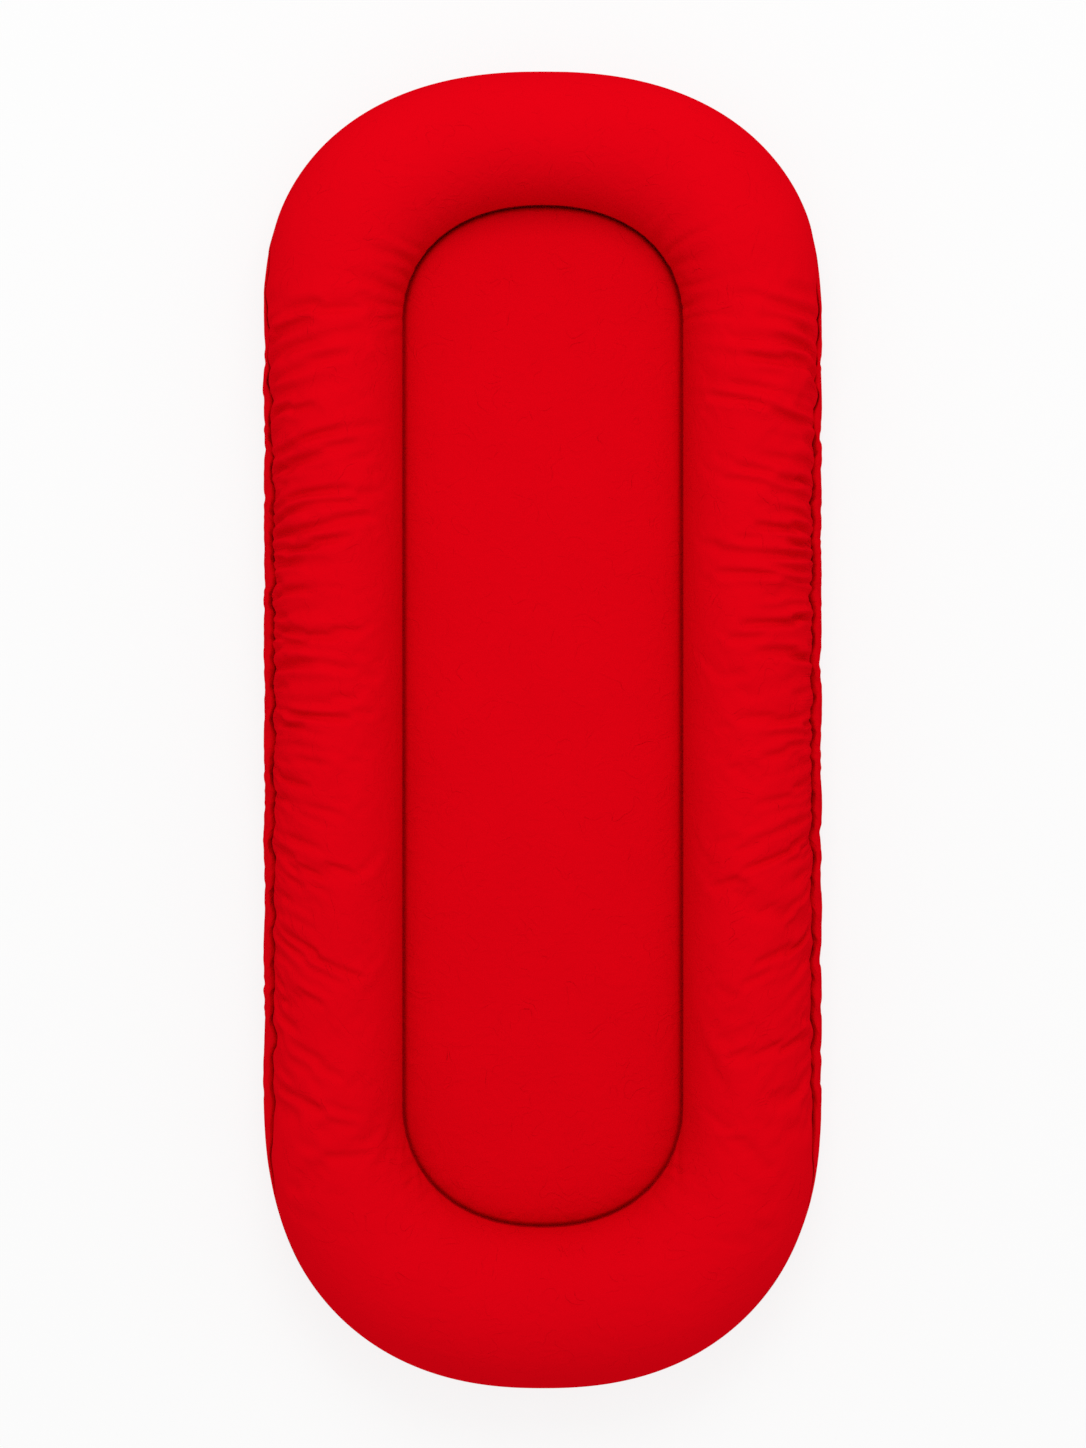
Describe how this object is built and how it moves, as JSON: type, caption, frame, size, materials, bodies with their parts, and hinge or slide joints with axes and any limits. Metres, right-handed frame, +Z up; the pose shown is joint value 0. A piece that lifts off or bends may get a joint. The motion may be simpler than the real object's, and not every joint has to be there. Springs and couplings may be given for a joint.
{
  "type": "infant lounger",
  "caption": "Infant lounger: a soft oblong bolster ring round a flat sewn-in pad, with elastic-gathered sides and a zip fastener in the underside of its cover.",
  "frame": {"origin": "on the floor, under the middle of the lounger", "axes": "+Z up, +Y towards the head end, +X to the right seen from above with the head end away"},
  "size_m": [0.445, 1.05, 0.115],
  "materials": {
    "cover_cloth": "fine soft woven cloth, bright red, low sheen",
    "base_cloth": "firmer plain-woven cloth, bright red, matt",
    "lining_cloth": "plain white lining, hidden",
    "casing_cloth": "plain white casing, hidden",
    "fibre_fill": "lofted white polyester fibre, hidden",
    "elastic": "flat woven elastic, hidden",
    "zip_tape": "twill zip tape, red",
    "zip_teeth": "nylon coil, red",
    "zip_metal": "die-cast zinc, red enamel"
  },
  "bodies": {
    "lounger": {"bolster_cover": "cover_cloth", "side_band": "cover_cloth", "inner_wall": "lining_cloth", "pad_cover": "cover_cloth", "base_panel_left": "base_cloth", "base_panel_right": "base_cloth", "bolster_casing_top": "casing_cloth", "bolster_casing_bottom": "casing_cloth", "bolster_fill": "fibre_fill", "pad_casing_top": "casing_cloth", "pad_casing_bottom": "casing_cloth", "pad_core": "fibre_fill", "elastic_left": "elastic", "elastic_right": "elastic", "zip_tape_left": "zip_tape", "zip_tape_right": "zip_tape", "zip_teeth_left": "zip_teeth", "zip_teeth_right": "zip_teeth", "zip_top_stop_left": "zip_metal", "zip_top_stop_right": "zip_metal", "zip_bottom_stop": "zip_metal"},
    "slider": {"zip_slider": "zip_metal"},
    "pull": {"zip_pull": "zip_metal"}
  },
  "joints": [
    {"name": "zip_travel", "type": "slide", "parent": "lounger", "child": "slider", "axis": [0, 1, 0], "range_m": [0, 0.548]},
    {"name": "pull_hinge", "type": "hinge", "parent": "slider", "child": "pull", "pos_m": [0, -0.274, 0.0068], "axis": [-1, 0, 0], "range_deg": [-14, 160]}
  ]
}
